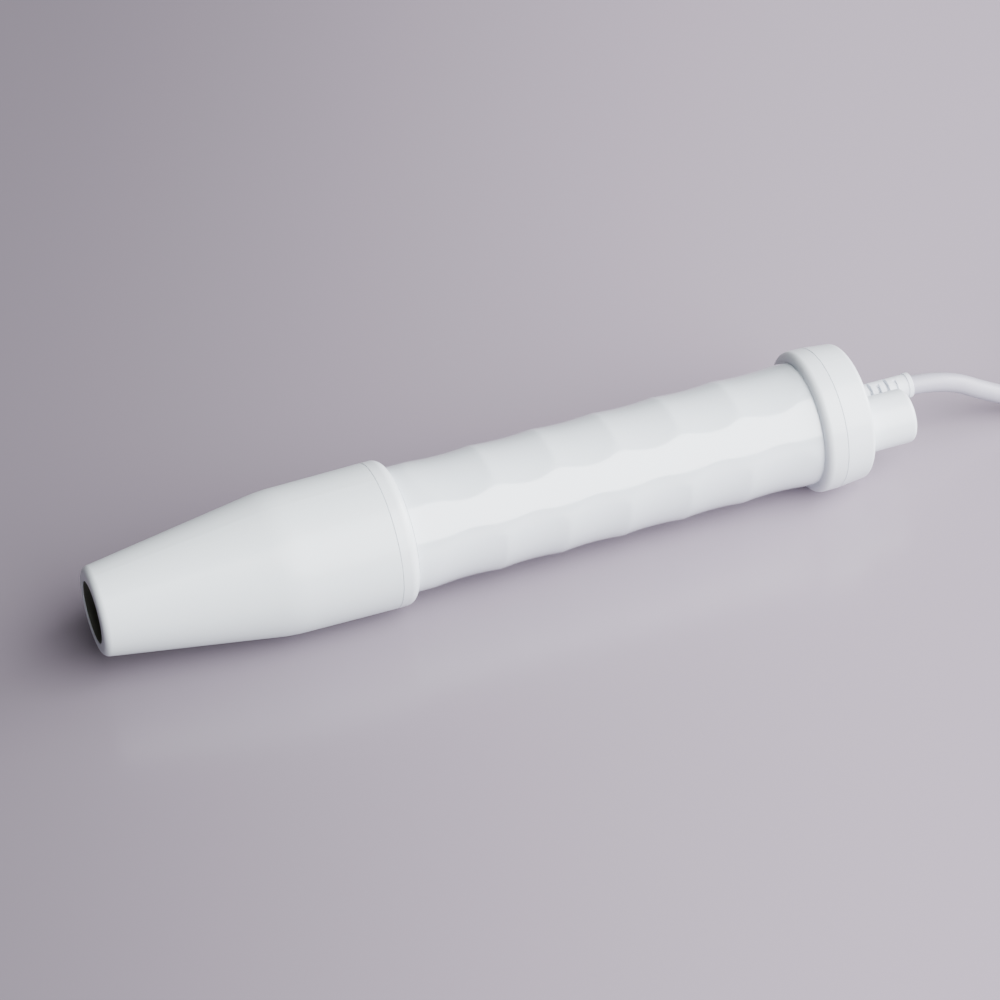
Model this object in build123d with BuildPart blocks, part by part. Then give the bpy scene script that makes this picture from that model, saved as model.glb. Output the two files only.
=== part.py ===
"""Ultrasound therapy wand with an open nose, a scooped grip, a rear intensity knob and a lead.

The wand lies on its side. +X runs along its centre line from the nose to the rear, +Z is up, and the
origin is on the surface that it lies on, under the middle of its length. A station is a distance
along the centre line from the mouth of the nose. All sizes are in millimetres.
"""

import os
from math import cos, radians, sin, sqrt, tan

from build123d import *

os.makedirs("parts", exist_ok=True)

# ---- driving dimensions -------------------------------------------------------------------------
# outer form
collar_radius = 22.0        # coupling ring, nose skirt and rear ring, which the wand lies on
grip_radius = 19.0
grip_length = 129.5         # between the coupling ring and the rear ring
hip_drop = 0.4              # radius that the nose loses from its seam to the hip
cone_length = 55.0          # mouth to hip
nose_length = 87.0          # mouth to the seam at the coupling ring
coupling_width = 6.0
rear_ring_width = 6.5
cap_length = 9.8
cap_taper = 1.0             # radius that the cap loses towards its rear face
relief_length = 23.0
# nose
mouth_radius = 9.3
mouth_outer_radius = 13.2
lip_depth = 0.25
lip_inner_rounding = 0.2
lip_outer_rounding = 2.2
liner_wall = 1.2
liner_length = 9.75
nose_wall = 3.0
lip_wall = 3.4              # wall of the cone behind the liner
hip_rounding = 55.0
skirt_wall = 3.0
# grip scoops
scoop_rows = 3
scoops_per_row = 6
scoop_pitch = 19.6
scoop_depth = 0.96
scoop_reach = 47.8          # half of the angle that a scoop spans round the grip
scoop_run = 13.0            # half of a scoop's own length, before its neighbour cuts into it
scoop_first = 17.7          # coupling ring to the middle of the first scoop
row_angle = 79.4            # direction of the first row, from +Y towards +Z
grip_wall = 3.4
# fits
sliding_fit = 0.08
running_fit = 0.06
thread_clearance = 0.3
end_float = 0.15
seam_gap = 0.06
seam_chamfer = 0.15
# coupling ring
spigot_wall = 1.2
lip_thickness = 2.55
journal_step = 1.9
ring_rounding = 3.2
# transducer
horn_tip_station = 12.0
horn_tip_radius = 5.5
horn_step_station = 36.0
horn_radius = 12.5
horn_shoulder = 1.5         # radius that the horn gains from its step to its node
horn_taper_end = 54.0
horn_step_rounding = 4.5
horn_shoulder_rounding = 1.0
horn_tip_rounding = 0.6
horn_rear_station = 72.0
flange_clearance = 0.22     # horn flange in the carrier
node_station = 60.0
node_thickness = 3.0
seal_thickness = 1.0
piezo_count = 4
piezo_thickness = 5.0
piezo_bore = 5.5
piezo_chamfer = 0.3
electrode_thickness = 0.4
tab_width = 4.0
tab_reach = 0.8
tab_lap = 1.0               # how far a tab starts inside its electrode
back_mass_length = 20.0
back_mass_clearance = 0.3
back_mass_chamfer = 1.0
bolt_radius = 4.0
bolt_depth = 14.0
bolt_head_radius = 6.5
bolt_head_length = 8.0
bolt_socket = 6.0           # across flats
sleeve_wall = 1.2
sleeve_clearance = 0.1
bolt_end_gap = 1.0
bolt_head_chamfer = 0.6
# carrier
carrier_front = 57.5
carrier_wall = 2.2
carrier_bore_small = 14.2
carrier_chamfer = 0.8
flange_lap = 2.5            # how far the seals and the carrier reach over the horn's flange
carrier_spigot_length = 15.0
neck_taper_start = 4.0      # taper in the carrier's bore, before the ring's shoulder
neck_taper_end = 2.0
clamp_ring_length = 5.0
clamp_lap = 2.8
clamp_chamfer = 0.5
ring_clearance = 0.1        # round the seals and the clamp ring in the carrier
spanner_holes = 4
spanner_hole_radius = 0.8
spanner_hole_inset = 1.6
spanner_hole_depth = 2.5
o_ring_station = 75.0
o_ring_section = 2.0
o_ring_squeeze = 0.5
o_ring_room = 0.4           # groove length over the section of the ring
o_ring_rounding = 0.6
o_ring_relief = 0.05
# chassis and board
chassis_front = 126.0
bulkhead_thickness = 2.5
tray_width = 25.0
tray_thickness = 1.6
standoff_height = 2.0
standoff_radius = 2.0
board_drop = 3.4            # centre line down to the top of the board
board_length = 78.0
board_width = 23.0
board_thickness = 1.6
board_start = 136.0
board_screw_radius = 1.0
board_screw_head = 1.9
board_screw_head_height = 1.2
board_screw_slot = 0.4
board_hole_clearance = 0.1
screw_inset = 2.8
window_half_width = 9.0
window_half_height = 3.5
lead_height = 3.5           # transducer leads above the centre line, at the board
lead_wire_radius = 0.4
header_length = 6.0
header_inset = 1.5          # front edge of the board to the first header
header_wall = 2.5           # over the wires
header_screw_radius = 1.5
header_screw_depth = 1.0
lead_header_wall = 1.0
header_half = 4.2
part_spacing = 2.4
core_length = 18.0
core_width = 17.0
core_height = 14.0
core_leg_count = 7          # widths of a leg in the length of the core
winding_play = 0.1
sink_length = 22.0
sink_height = 15.0
sink_thickness = 2.0
sink_fin = 7.0
transistor_width = 10.0
transistor_thickness = 4.4
transistor_tab = 1.3
transistor_height = 7.0
transistor_foot = 2.0       # board to the underside of the body
transistor_pin_start = 2.2
transistor_pin_end = 2.7
sink_margin = 1.0           # top of a transistor's tab to the top of the heatsink
capacitor_radius = 5.0
capacitor_height = 12.0
capacitor_gap = 0.8         # between the two cans
capacitor_rounding = 0.6
chip_length = 10.0
chip_width = 8.0
chip_thickness = 1.2
ribbon_width = 5.0
ribbon_thickness = 0.8
# rear end
rear_ring_rounding = 2.2
bore_lap = 3.5              # grip end inside the rear ring
flange_thickness = 1.5
gasket_thickness = 0.6
cap_wall = 3.2
cap_spigot_wall = 1.3
cap_face = 2.4
cap_rounding = 1.6
screw_circle = 12.4
screw_count = 3
screw_radius = 1.25
screw_head_radius = 2.3
screw_head_height = 1.4
screw_hole_clearance = 0.15
screw_head_clearance = 0.1
screw_slot = 0.5            # width of the cross in a screw's head
screw_slot_depth = 0.8
slot_share = 1.3            # length of a cross over the radius of its head
boss_wall = 1.55
# intensity control
knob_radius = 8.4
knob_length = 15.2
knob_gap = 0.8
knob_side_gap = 0.15        # between the knob and the strain relief
knob_wall = 1.3
knob_rounding = 1.5
knob_skirt_rounding = 0.3
shaft_radius = 3.0
shaft_length = 17.0
shaft_inside = 1.0          # how far the shaft starts inside the potentiometer's body
shaft_flat = 1.5            # shaft axis to its flat
shaft_chamfer = 0.4
key_lap = 0.5               # how far the knob's key runs into its hub
bushing_radius = 4.2
bushing_length = 5.4
pot_size = 11.0
pot_depth = 6.6
pot_pin_pitch = 2.54
pot_pin_length = 2.0
pot_pin_width = 0.8
pot_pin_thickness = 0.4
pot_pin_inset = 1.2
pot_rounding = 1.2
nut_flats = 11.0
nut_thickness = 2.0
washer_thickness = 0.4
washer_lap = 0.8            # how far the washer reaches past the nut's flats
grub_radius = 1.5
grub_length = 4.5
# lead
cord_diameter = 6.0
inner_lead_diameter = 4.0
relief_offset = 3.9         # from the centre line towards +Y
relief_radius = 3.7
relief_end_radius = 3.95
relief_rim = 1.5
relief_neck_radius = 3.3
relief_flange_radius = 4.6
relief_flange_thickness = 1.6
relief_rounding = 0.3
ferrule_gap = 1.0
ferrule_length = 3.0
slot_width = 1.1
slot_pitch = 2.8
slot_count = 6
slot_first = 3.4            # rear face of the cap to the first slot
slot_floor = 0.1            # wall left under a slot over the jacket
slot_core = 0.3             # wall left under a slot over the inner lead
bridge_width = 2.2
bridge_direction = 45.0     # from +Y towards +Z
bridge_swing = 25.0
cord_start_depth = 7.6      # how far the jacket runs into the strain relief
fold_radius = 18.0          # inner turns of the hank
hank_run = 90.0
hank_gap = 72.0             # end of the strain relief to the hank
hank_centre_y = 4.0
tie_width = 10.0
tie_thickness = 0.9
plug_radius = 7.0
plug_body_length = 19.0
plug_shell_radius = 5.6
plug_shell_length = 11.0
plug_shell_wall = 0.7
plug_boot_length = 16.0
plug_pin_radius = 0.5
plug_pin_circle = 2.8
plug_pin_count = 6
plug_pin_length = 7.0
pin_recess = 1.5
boot_wall = 1.2
jacket_in_boot = 5.5

# ---- worked-out stations and radii ---------------------------------------------------------------
seam = nose_length
coupling_end = seam + coupling_width
rear_ring_start = coupling_end + grip_length
rear_seam = rear_ring_start + rear_ring_width
cap_end = rear_seam + cap_length
relief_end = cap_end + relief_length
tip_x = -relief_end / 2
axis_height = collar_radius
hip_radius = collar_radius - hip_drop
grip_bore = grip_radius - grip_wall
nose_bore = collar_radius - skirt_wall
spigot_radius = nose_bore + spigot_wall
carrier_radius = nose_bore - sliding_fit
carrier_bore = carrier_radius - carrier_wall
node_radius = carrier_bore - flange_clearance
lip_end = coupling_end - end_float / 2
lip_start = lip_end - lip_thickness
spigot_end = lip_start - 2 * end_float
shoulder = lip_start - end_float
grip_start = coupling_end + end_float / 2
grip_end = rear_ring_start + bore_lap
flange_end = grip_end + flange_thickness
gasket_end = flange_end + gasket_thickness
cap_inside = cap_end - cap_face
cap_bore = collar_radius - seam_gap - cap_wall - cap_taper
cap_spigot_radius = grip_radius - sliding_fit / 2
cap_spigot_bore = cap_spigot_radius - cap_spigot_wall
cap_step = rear_seam + seam_gap / 2 + cap_face
piezo_end = horn_rear_station + piezo_count * (piezo_thickness + electrode_thickness)
back_mass_end = piezo_end + back_mass_length
knob_offset = knob_radius + relief_end_radius + knob_side_gap - relief_offset
knob_axis = (-knob_offset, 0.0)
relief_axis = (relief_offset, 0.0)
carrier_journal = carrier_radius - journal_step
board_top = -board_drop
board_under = board_top - board_thickness
outer_fold = fold_radius + cord_diameter


# ---- helpers -------------------------------------------------------------------------------------
def meridian(about=(0.0, 0.0), angle=90.0):
    """Plane through an axis along X: its x is the station and its y the radius, towards the angle."""
    rise = (0.0, cos(radians(angle)), sin(radians(angle)))
    origin = (tip_x, about[0], axis_height + about[1])
    return Plane(origin=origin, x_dir=(1, 0, 0), z_dir=(0, -rise[2], rise[1]))


def section(station, about=(0.0, 0.0)):
    """Plane across the centre line: its x is +Y and its y is +Z, and it looks towards the rear."""
    origin = (tip_x + station, about[0], axis_height + about[1])
    return Plane(origin=origin, x_dir=(0, 1, 0), z_dir=(1, 0, 0))


def turn(*outline, about=(0.0, 0.0), mode=Mode.ADD):
    """Turn a closed outline of (station, radius) points about the axis at (y, z)."""
    plane = meridian(about)
    with BuildSketch(plane) as profile:
        with BuildLine():
            Polyline(*outline, close=True)
        make_face()
    revolve(profile.sketch, axis=Axis(plane.origin, plane.x_dir), mode=mode)


def tube(start, end, outer, inner=0.0, about=(0.0, 0.0), mode=Mode.ADD):
    """Turn a plain tube, or a rod where the inner radius is zero."""
    turn((start, inner), (end, inner), (end, outer), (start, outer), about=about, mode=mode)


def rims(piece, station, radius):
    """Round edges of a piece at a station, of the radius given, measured from their own centres."""
    found = piece.edges().filter_by(GeomType.CIRCLE)
    return found.filter_by(
        lambda edge: abs(edge.arc_center.X - tip_x - station) < 0.01 and abs(edge.radius - radius) < 0.01
    )


def finish(piece, name):
    """Label a finished piece and write its file."""
    piece.part.label = name
    export_step(piece.part, f"parts/{name}.step")


def block(start, end, y_range, z_range, mode=Mode.ADD):
    """Add a box between two stations, with its sides given from the centre line."""
    width, height = y_range[1] - y_range[0], z_range[1] - z_range[0]
    middle = (sum(y_range) / 2, sum(z_range) / 2)
    with BuildSketch(section(start, middle)) as face:
        Rectangle(width, height)
    extrude(face.sketch, amount=end - start, mode=mode)


# ---- nose: cone, liner ---------------------------------------------------------------------------
def build_nose():
    """Removable nose cone, threaded outside its rear spigot, with the liner behind its lip."""
    cone_slope = (hip_radius - mouth_outer_radius) / cone_length
    liner_radius = mouth_radius + liner_wall
    liner_end = lip_depth + liner_length
    with BuildPart() as nose_cone:
        turn(
            (0, mouth_radius),
            (0, mouth_outer_radius),
            (cone_length, hip_radius),
            (seam - seam_gap / 2, collar_radius),
            (seam - seam_gap / 2, spigot_radius),
            (spigot_end, spigot_radius),
            (spigot_end, nose_bore),
            (cone_length + 2, nose_bore),
            (cone_length, hip_radius - nose_wall),
            (liner_end, mouth_outer_radius + cone_slope * liner_end - lip_wall),
            (liner_end, liner_radius),
            (lip_depth, liner_radius),
            (lip_depth, mouth_radius),
        )
        fillet(rims(nose_cone, cone_length, hip_radius), hip_rounding)
        fillet(rims(nose_cone, 0, mouth_outer_radius), lip_outer_rounding)
        fillet(rims(nose_cone, 0, mouth_radius), lip_inner_rounding)
        chamfer(rims(nose_cone, seam - seam_gap / 2, collar_radius), seam_chamfer)
    finish(nose_cone, "nose_cone")

    with BuildPart() as nose_liner:
        tube(lip_depth, liner_end, liner_radius, mouth_radius)
    finish(nose_liner, "nose_liner")


def build_coupling():
    """Captive ring with a rounded rear edge, which runs on the carrier and draws the nose on."""
    with BuildPart() as coupling_ring:
        turn(
            (seam + seam_gap / 2, spigot_radius + thread_clearance),
            (lip_start, spigot_radius + thread_clearance),
            (lip_start, carrier_journal + sliding_fit),
            (lip_end, carrier_journal + sliding_fit),
            (lip_end, collar_radius),
            (seam + seam_gap / 2, collar_radius),
        )
        fillet(rims(coupling_ring, lip_end, collar_radius), ring_rounding)
        chamfer(rims(coupling_ring, seam + seam_gap / 2, collar_radius), seam_chamfer)
    finish(coupling_ring, "coupling_ring")


# ---- transducer ----------------------------------------------------------------------------------
def build_horn():
    """Stepped horn: a thin tip behind the mouth, and a flange at its node that is clamped."""
    with BuildPart() as horn:
        turn(
            (horn_tip_station, 0),
            (horn_tip_station, horn_tip_radius),
            (horn_step_station, horn_tip_radius),
            (horn_step_station, horn_radius - horn_shoulder),
            (horn_taper_end, horn_radius),
            (node_station, horn_radius),
            (node_station, node_radius),
            (node_station + node_thickness, node_radius),
            (node_station + node_thickness, horn_radius),
            (horn_rear_station, horn_radius),
            (horn_rear_station, bolt_radius),
            (horn_rear_station - bolt_depth, bolt_radius),
            (horn_rear_station - bolt_depth, 0),
        )
        step_height = horn_radius - horn_shoulder - horn_tip_radius
        step_rounding = min(horn_step_rounding, step_height - horn_shoulder_rounding / 2)
        fillet(rims(horn, horn_step_station, horn_tip_radius), step_rounding)
        fillet(rims(horn, horn_step_station, horn_radius - horn_shoulder), horn_shoulder_rounding)
        fillet(rims(horn, horn_tip_station, horn_tip_radius), horn_tip_rounding)
    finish(horn, "horn")


def build_stack():
    """Piezo rings, their electrodes, the insulating sleeve, the back mass and the bolt."""
    station = horn_rear_station
    for number in range(1, piezo_count + 1):
        with BuildPart() as piezo_ring:
            tube(station, station + piezo_thickness, horn_radius, piezo_bore)
            for face in (station, station + piezo_thickness):
                chamfer(rims(piezo_ring, face, horn_radius), piezo_chamfer)
        finish(piezo_ring, f"piezo_ring_{number}")
        station += piezo_thickness

        lead_side = 1 if number % 2 else -1
        with BuildPart() as electrode:
            tube(station, station + electrode_thickness, horn_radius, piezo_bore)
            tab = sorted((lead_side * (horn_radius - tab_lap), lead_side * (horn_radius + tab_reach)))
            block(station, station + electrode_thickness, (-tab_width / 2, tab_width / 2), tab)
        finish(electrode, f"electrode_{number}")
        station += electrode_thickness

    with BuildPart() as insulating_sleeve:
        tube(horn_rear_station, piezo_end, bolt_radius + sleeve_wall, bolt_radius + sleeve_clearance)
    finish(insulating_sleeve, "insulating_sleeve")

    with BuildPart() as back_mass:
        tube(piezo_end, back_mass_end, horn_radius, bolt_radius + back_mass_clearance)
        chamfer(rims(back_mass, back_mass_end, horn_radius), back_mass_chamfer)
    finish(back_mass, "back_mass")

    with BuildPart() as prestress_bolt:
        tube(horn_rear_station - bolt_depth + bolt_end_gap, back_mass_end, bolt_radius)
        tube(back_mass_end, back_mass_end + bolt_head_length, bolt_head_radius)
        chamfer(rims(prestress_bolt, back_mass_end + bolt_head_length, bolt_head_radius), bolt_head_chamfer)
        with BuildSketch(section(back_mass_end + bolt_head_length)):
            RegularPolygon(bolt_socket / 2, 6, major_radius=False)
        extrude(amount=-bolt_head_length / 2, mode=Mode.SUBTRACT)
    finish(prestress_bolt, "prestress_bolt")


def build_carrier():
    """Carrier that holds the transducer by its flange, and the ring that clamps the flange in it."""
    seat = node_station - seal_thickness
    clamp_start = node_station + node_thickness + seal_thickness
    groove_floor = nose_bore - o_ring_section + o_ring_squeeze
    groove_length = o_ring_section + o_ring_room
    carrier_end = grip_start + carrier_spigot_length
    with BuildPart() as transducer_carrier:
        turn(
            (carrier_front, node_radius - flange_lap),
            (seat, node_radius - flange_lap),
            (seat, carrier_bore),
            (shoulder - neck_taper_start, carrier_bore),
            (shoulder - neck_taper_end, carrier_bore_small),
            (carrier_end, carrier_bore_small),
            (carrier_end, grip_bore),
            (grip_start, grip_bore),
            (grip_start, carrier_journal),
            (shoulder, carrier_journal),
            (shoulder, carrier_radius),
            (o_ring_station + groove_length, carrier_radius),
            (o_ring_station + groove_length, groove_floor),
            (o_ring_station, groove_floor),
            (o_ring_station, carrier_radius),
            (carrier_front, carrier_radius),
        )
        chamfer(rims(transducer_carrier, carrier_front, carrier_radius), carrier_chamfer)
    finish(transducer_carrier, "transducer_carrier")

    with BuildPart() as nose_seal_ring:
        seal_start = o_ring_station + o_ring_room / 4
        seal_end = o_ring_station + groove_length - o_ring_room / 4
        tube(seal_start, seal_end, nose_bore - o_ring_relief, groove_floor)
        fillet(nose_seal_ring.edges().filter_by(GeomType.CIRCLE), o_ring_rounding)
    finish(nose_seal_ring, "nose_seal_ring")

    for name, start in (("horn_front_seal", seat), ("horn_rear_seal", node_station + node_thickness)):
        with BuildPart() as horn_seal:
            tube(start, start + seal_thickness, carrier_bore - ring_clearance, node_radius - flange_lap)
        finish(horn_seal, name)

    with BuildPart() as horn_clamp_ring:
        clamp_end = clamp_start + clamp_ring_length
        clamp_radius = carrier_bore - ring_clearance / 2
        tube(clamp_start, clamp_end, clamp_radius, node_radius - clamp_lap)
        chamfer(rims(horn_clamp_ring, clamp_end, clamp_radius), clamp_chamfer)
        with BuildSketch(section(clamp_end)):
            with PolarLocations(carrier_bore - spanner_hole_inset, spanner_holes):
                Circle(spanner_hole_radius)
        extrude(amount=-spanner_hole_depth, mode=Mode.SUBTRACT)
    finish(horn_clamp_ring, "horn_clamp_ring")


# ---- grip ----------------------------------------------------------------------------------------
def build_grip():
    """Grip tube with rows of shallow scoops, each row cut by one turned, scalloped cutter."""
    spread = radians(scoop_reach)
    half_chord = grip_radius * sin(spread)
    rise = grip_radius * (1 - cos(spread)) - scoop_depth
    floor_radius = (half_chord**2 + rise**2) / (2 * rise)
    axis_shift = floor_radius - (grip_radius - scoop_depth)
    outside = floor_radius + collar_radius - grip_radius + scoop_depth

    def cutter_point(middle, run):
        """Point of the cutter's edge, a run away from the middle of a scoop."""
        return middle + run, floor_radius + scoop_depth * (run / scoop_run) ** 2

    with BuildPart() as grip_shell:
        tube(grip_start, grip_end, grip_radius, grip_bore)
        for row in range(scoop_rows):
            angle = row_angle + row * 360 / scoop_rows
            about = (-axis_shift * cos(radians(angle)), -axis_shift * sin(radians(angle)))
            plane = meridian(about, angle)
            with BuildSketch(plane) as cutter:
                with BuildLine():
                    for number in range(scoops_per_row):
                        middle = coupling_end + scoop_first + number * scoop_pitch
                        before = scoop_run if number == 0 else scoop_pitch / 2
                        after = scoop_run if number == scoops_per_row - 1 else scoop_pitch / 2
                        runs = (-before, -before / 2, 0, after / 2, after)
                        Spline(*(cutter_point(middle, run) for run in runs))
                    first = cutter_point(coupling_end + scoop_first, -scoop_run)
                    last = cutter_point(middle, after)
                    Polyline(last, (last[0], outside), (first[0], outside), first)
                make_face()
            revolve(cutter.sketch, axis=Axis(plane.origin, plane.x_dir), mode=Mode.SUBTRACT)
    finish(grip_shell, "grip_shell")


# ---- rear end ------------------------------------------------------------------------------------
def screw_places():
    """Places of the cap screws, which go through the cap into the chassis bulkhead."""
    return PolarLocations(screw_circle, screw_count)


def build_rear():
    """Ring that joins grip and cap, the gasket, the cap itself and its screws."""
    with BuildPart() as rear_ring:
        tube(rear_ring_start, rear_seam - seam_gap / 2, collar_radius, grip_radius)
        fillet(rims(rear_ring, rear_ring_start, collar_radius), rear_ring_rounding)
        chamfer(rims(rear_ring, rear_seam - seam_gap / 2, collar_radius), seam_chamfer)
    finish(rear_ring, "rear_ring")

    with BuildPart() as cap_gasket:
        tube(flange_end, gasket_end, cap_spigot_radius, cap_spigot_bore)
    finish(cap_gasket, "cap_gasket")

    with BuildPart() as rear_cap:
        turn(
            (gasket_end, cap_spigot_bore),
            (gasket_end, cap_spigot_radius),
            (rear_seam + seam_gap / 2, cap_spigot_radius),
            (rear_seam + seam_gap / 2, collar_radius),
            (cap_end, collar_radius - cap_taper),
            (cap_end, 0),
            (cap_inside, 0),
            (cap_inside, cap_bore),
            (cap_step, cap_bore),
            (cap_step, cap_spigot_bore),
        )
        fillet(rims(rear_cap, cap_end, collar_radius - cap_taper), cap_rounding)
        chamfer(rims(rear_cap, rear_seam + seam_gap / 2, collar_radius), seam_chamfer)
        with BuildSketch(section(flange_end)):
            with screw_places():
                Circle(screw_radius + boss_wall)
        extrude(amount=cap_end - flange_end - cap_face / 2)
        with BuildSketch(section(flange_end)):
            with screw_places():
                Circle(screw_radius + screw_hole_clearance)
        extrude(amount=cap_end - flange_end, mode=Mode.SUBTRACT)
        with BuildSketch(section(cap_end)):
            with screw_places():
                Circle(screw_head_radius + screw_head_clearance)
        extrude(amount=-screw_head_height - screw_head_clearance, mode=Mode.SUBTRACT)
        with BuildSketch(section(cap_end, knob_axis)):
            Circle(bushing_radius)
        extrude(amount=-cap_face, mode=Mode.SUBTRACT)
        with BuildSketch(section(cap_end, relief_axis)):
            Circle(relief_neck_radius)
        extrude(amount=-cap_face, mode=Mode.SUBTRACT)
    finish(rear_cap, "rear_cap")

    with BuildPart() as cap_screws:
        head_seat = cap_end - screw_head_clearance - screw_head_height
        with BuildSketch(section(head_seat)):
            with screw_places():
                Circle(screw_head_radius)
        extrude(amount=screw_head_height)
        with BuildSketch(section(head_seat)):
            with screw_places():
                Circle(screw_radius)
        extrude(amount=-(head_seat - flange_end + bulkhead_thickness))
        with BuildSketch(section(head_seat + screw_head_height)):
            with screw_places():
                Rectangle(screw_head_radius * slot_share, screw_slot)
                Rectangle(screw_slot, screw_head_radius * slot_share)
        extrude(amount=-screw_slot_depth, mode=Mode.SUBTRACT)
    finish(cap_screws, "cap_screws")


def build_control():
    """Potentiometer with its washer and nut, its shaft, and the knob with its grub screw."""
    shaft_start = cap_inside - shaft_inside
    shaft_end = shaft_start + shaft_length
    bushing_end = cap_end + bushing_length
    nut_start = cap_end + washer_thickness
    half = pot_size / 2
    with BuildPart() as level_pot:
        pot_sides = (-knob_offset - half, -knob_offset + half)
        block(cap_inside - pot_depth, cap_inside, pot_sides, (-half, half))
        fillet(level_pot.edges().filter_by(Axis.X), pot_rounding)
        tube(cap_inside, bushing_end, bushing_radius, about=knob_axis)
        for place in (-pot_pin_pitch, 0, pot_pin_pitch):
            pin_middle = -knob_offset + place
            pin_sides = (pin_middle - pot_pin_width / 2, pin_middle + pot_pin_width / 2)
            pin_start = cap_inside - pot_depth + pot_pin_inset
            pin_end = pin_start + pot_pin_thickness
            block(pin_start, pin_end, pin_sides, (-half - pot_pin_length, -half))
        bore = shaft_radius + running_fit
        tube(shaft_start - running_fit, bushing_end, bore, about=knob_axis, mode=Mode.SUBTRACT)
    finish(level_pot, "level_pot")

    with BuildPart() as pot_washer:
        tube(cap_end, nut_start, nut_flats / 2 + washer_lap, bushing_radius, about=knob_axis)
    finish(pot_washer, "pot_washer")

    with BuildPart() as pot_nut:
        with BuildSketch(section(nut_start, knob_axis)):
            RegularPolygon(nut_flats / 2, 6, major_radius=False)
            Circle(bushing_radius, mode=Mode.SUBTRACT)
        extrude(amount=nut_thickness)
    finish(pot_nut, "pot_nut")

    bore_start = bushing_end + knob_gap
    flat_sides = (-knob_offset - shaft_radius, -knob_offset + shaft_radius)
    with BuildPart() as pot_shaft:
        tube(shaft_start, shaft_end, shaft_radius, about=knob_axis)
        chamfer(rims(pot_shaft, shaft_end, shaft_radius), shaft_chamfer)
        block(bore_start, shaft_end, flat_sides, (-shaft_radius, -shaft_flat), mode=Mode.SUBTRACT)
    finish(pot_shaft, "pot_shaft")

    knob_start = cap_end + knob_gap
    knob_end = knob_start + knob_length
    screw_station = (bore_start + shaft_end) / 2
    screw_plane = Plane(
        origin=(tip_x + screw_station, -knob_offset, axis_height - shaft_flat), z_dir=(0, 0, -1)
    )
    with BuildPart() as intensity_knob:
        tube(knob_start, knob_end, knob_radius, about=knob_axis)
        fillet(rims(intensity_knob, knob_end, knob_radius), knob_rounding)
        fillet(rims(intensity_knob, knob_start, knob_radius), knob_skirt_rounding)
        tube(knob_start, bore_start, knob_radius - knob_wall, about=knob_axis, mode=Mode.SUBTRACT)
        tube(bore_start, shaft_end, shaft_radius, about=knob_axis, mode=Mode.SUBTRACT)
        key_half = sqrt(shaft_radius**2 - shaft_flat**2)
        key_sides = (-knob_offset - key_half, -knob_offset + key_half)
        block(bore_start, shaft_end, key_sides, (-shaft_radius - key_lap, -shaft_flat))
        with BuildSketch(screw_plane):
            Circle(grub_radius)
        extrude(amount=knob_radius, mode=Mode.SUBTRACT)
    finish(intensity_knob, "intensity_knob")

    with BuildPart() as knob_grub_screw:
        with BuildSketch(screw_plane):
            Circle(grub_radius)
        extrude(amount=grub_length)
        with BuildSketch(screw_plane.offset(grub_length)):
            RegularPolygon(grub_radius * 0.5, 6)
        extrude(amount=-grub_length / 3, mode=Mode.SUBTRACT)
    finish(knob_grub_screw, "knob_grub_screw")


# ---- chassis and board ---------------------------------------------------------------------------
def board_screw_places():
    """Corners of the board where its screws stand, on a plane parallel to the board."""
    return GridLocations(board_length - 2 * screw_inset, board_width - 2 * screw_inset, 2, 2)


def level(height, station=board_start + board_length / 2, y=0.0):
    """Plane parallel to the board at a height, with its origin over the middle of the board."""
    return Plane(origin=(tip_x + station, y, axis_height + height))


def build_chassis():
    """Tray between a front and a rear bulkhead; the cap screws pull on the rear one."""
    tray_top = board_under - standoff_height
    tray_sides = (-tray_width / 2, tray_width / 2)
    rear_face = grip_end - bulkhead_thickness
    with BuildPart() as chassis:
        tube(chassis_front, chassis_front + bulkhead_thickness, grip_bore - sliding_fit)
        tube(rear_face, flange_end, grip_bore - sliding_fit)
        tube(grip_end, flange_end, cap_spigot_radius)
        block(chassis_front, rear_face, tray_sides, (tray_top - tray_thickness, tray_top))
        with BuildSketch(level(tray_top)):
            with board_screw_places():
                Circle(standoff_radius)
        extrude(amount=standoff_height)
        with BuildSketch(level(board_under)):
            with board_screw_places():
                Circle(board_screw_radius)
        extrude(amount=-standoff_height, mode=Mode.SUBTRACT)
        block(
            chassis_front,
            chassis_front + bulkhead_thickness,
            (-window_half_width, window_half_width),
            (lead_height - window_half_height, lead_height + window_half_height),
            mode=Mode.SUBTRACT,
        )
        block(
            rear_face,
            flange_end,
            (-window_half_width, window_half_width),
            (-window_half_height, window_half_height),
            mode=Mode.SUBTRACT,
        )
        with BuildSketch(section(rear_face)):
            with screw_places():
                Circle(screw_radius)
        extrude(amount=flange_end - rear_face, mode=Mode.SUBTRACT)
    finish(chassis, "chassis")


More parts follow.
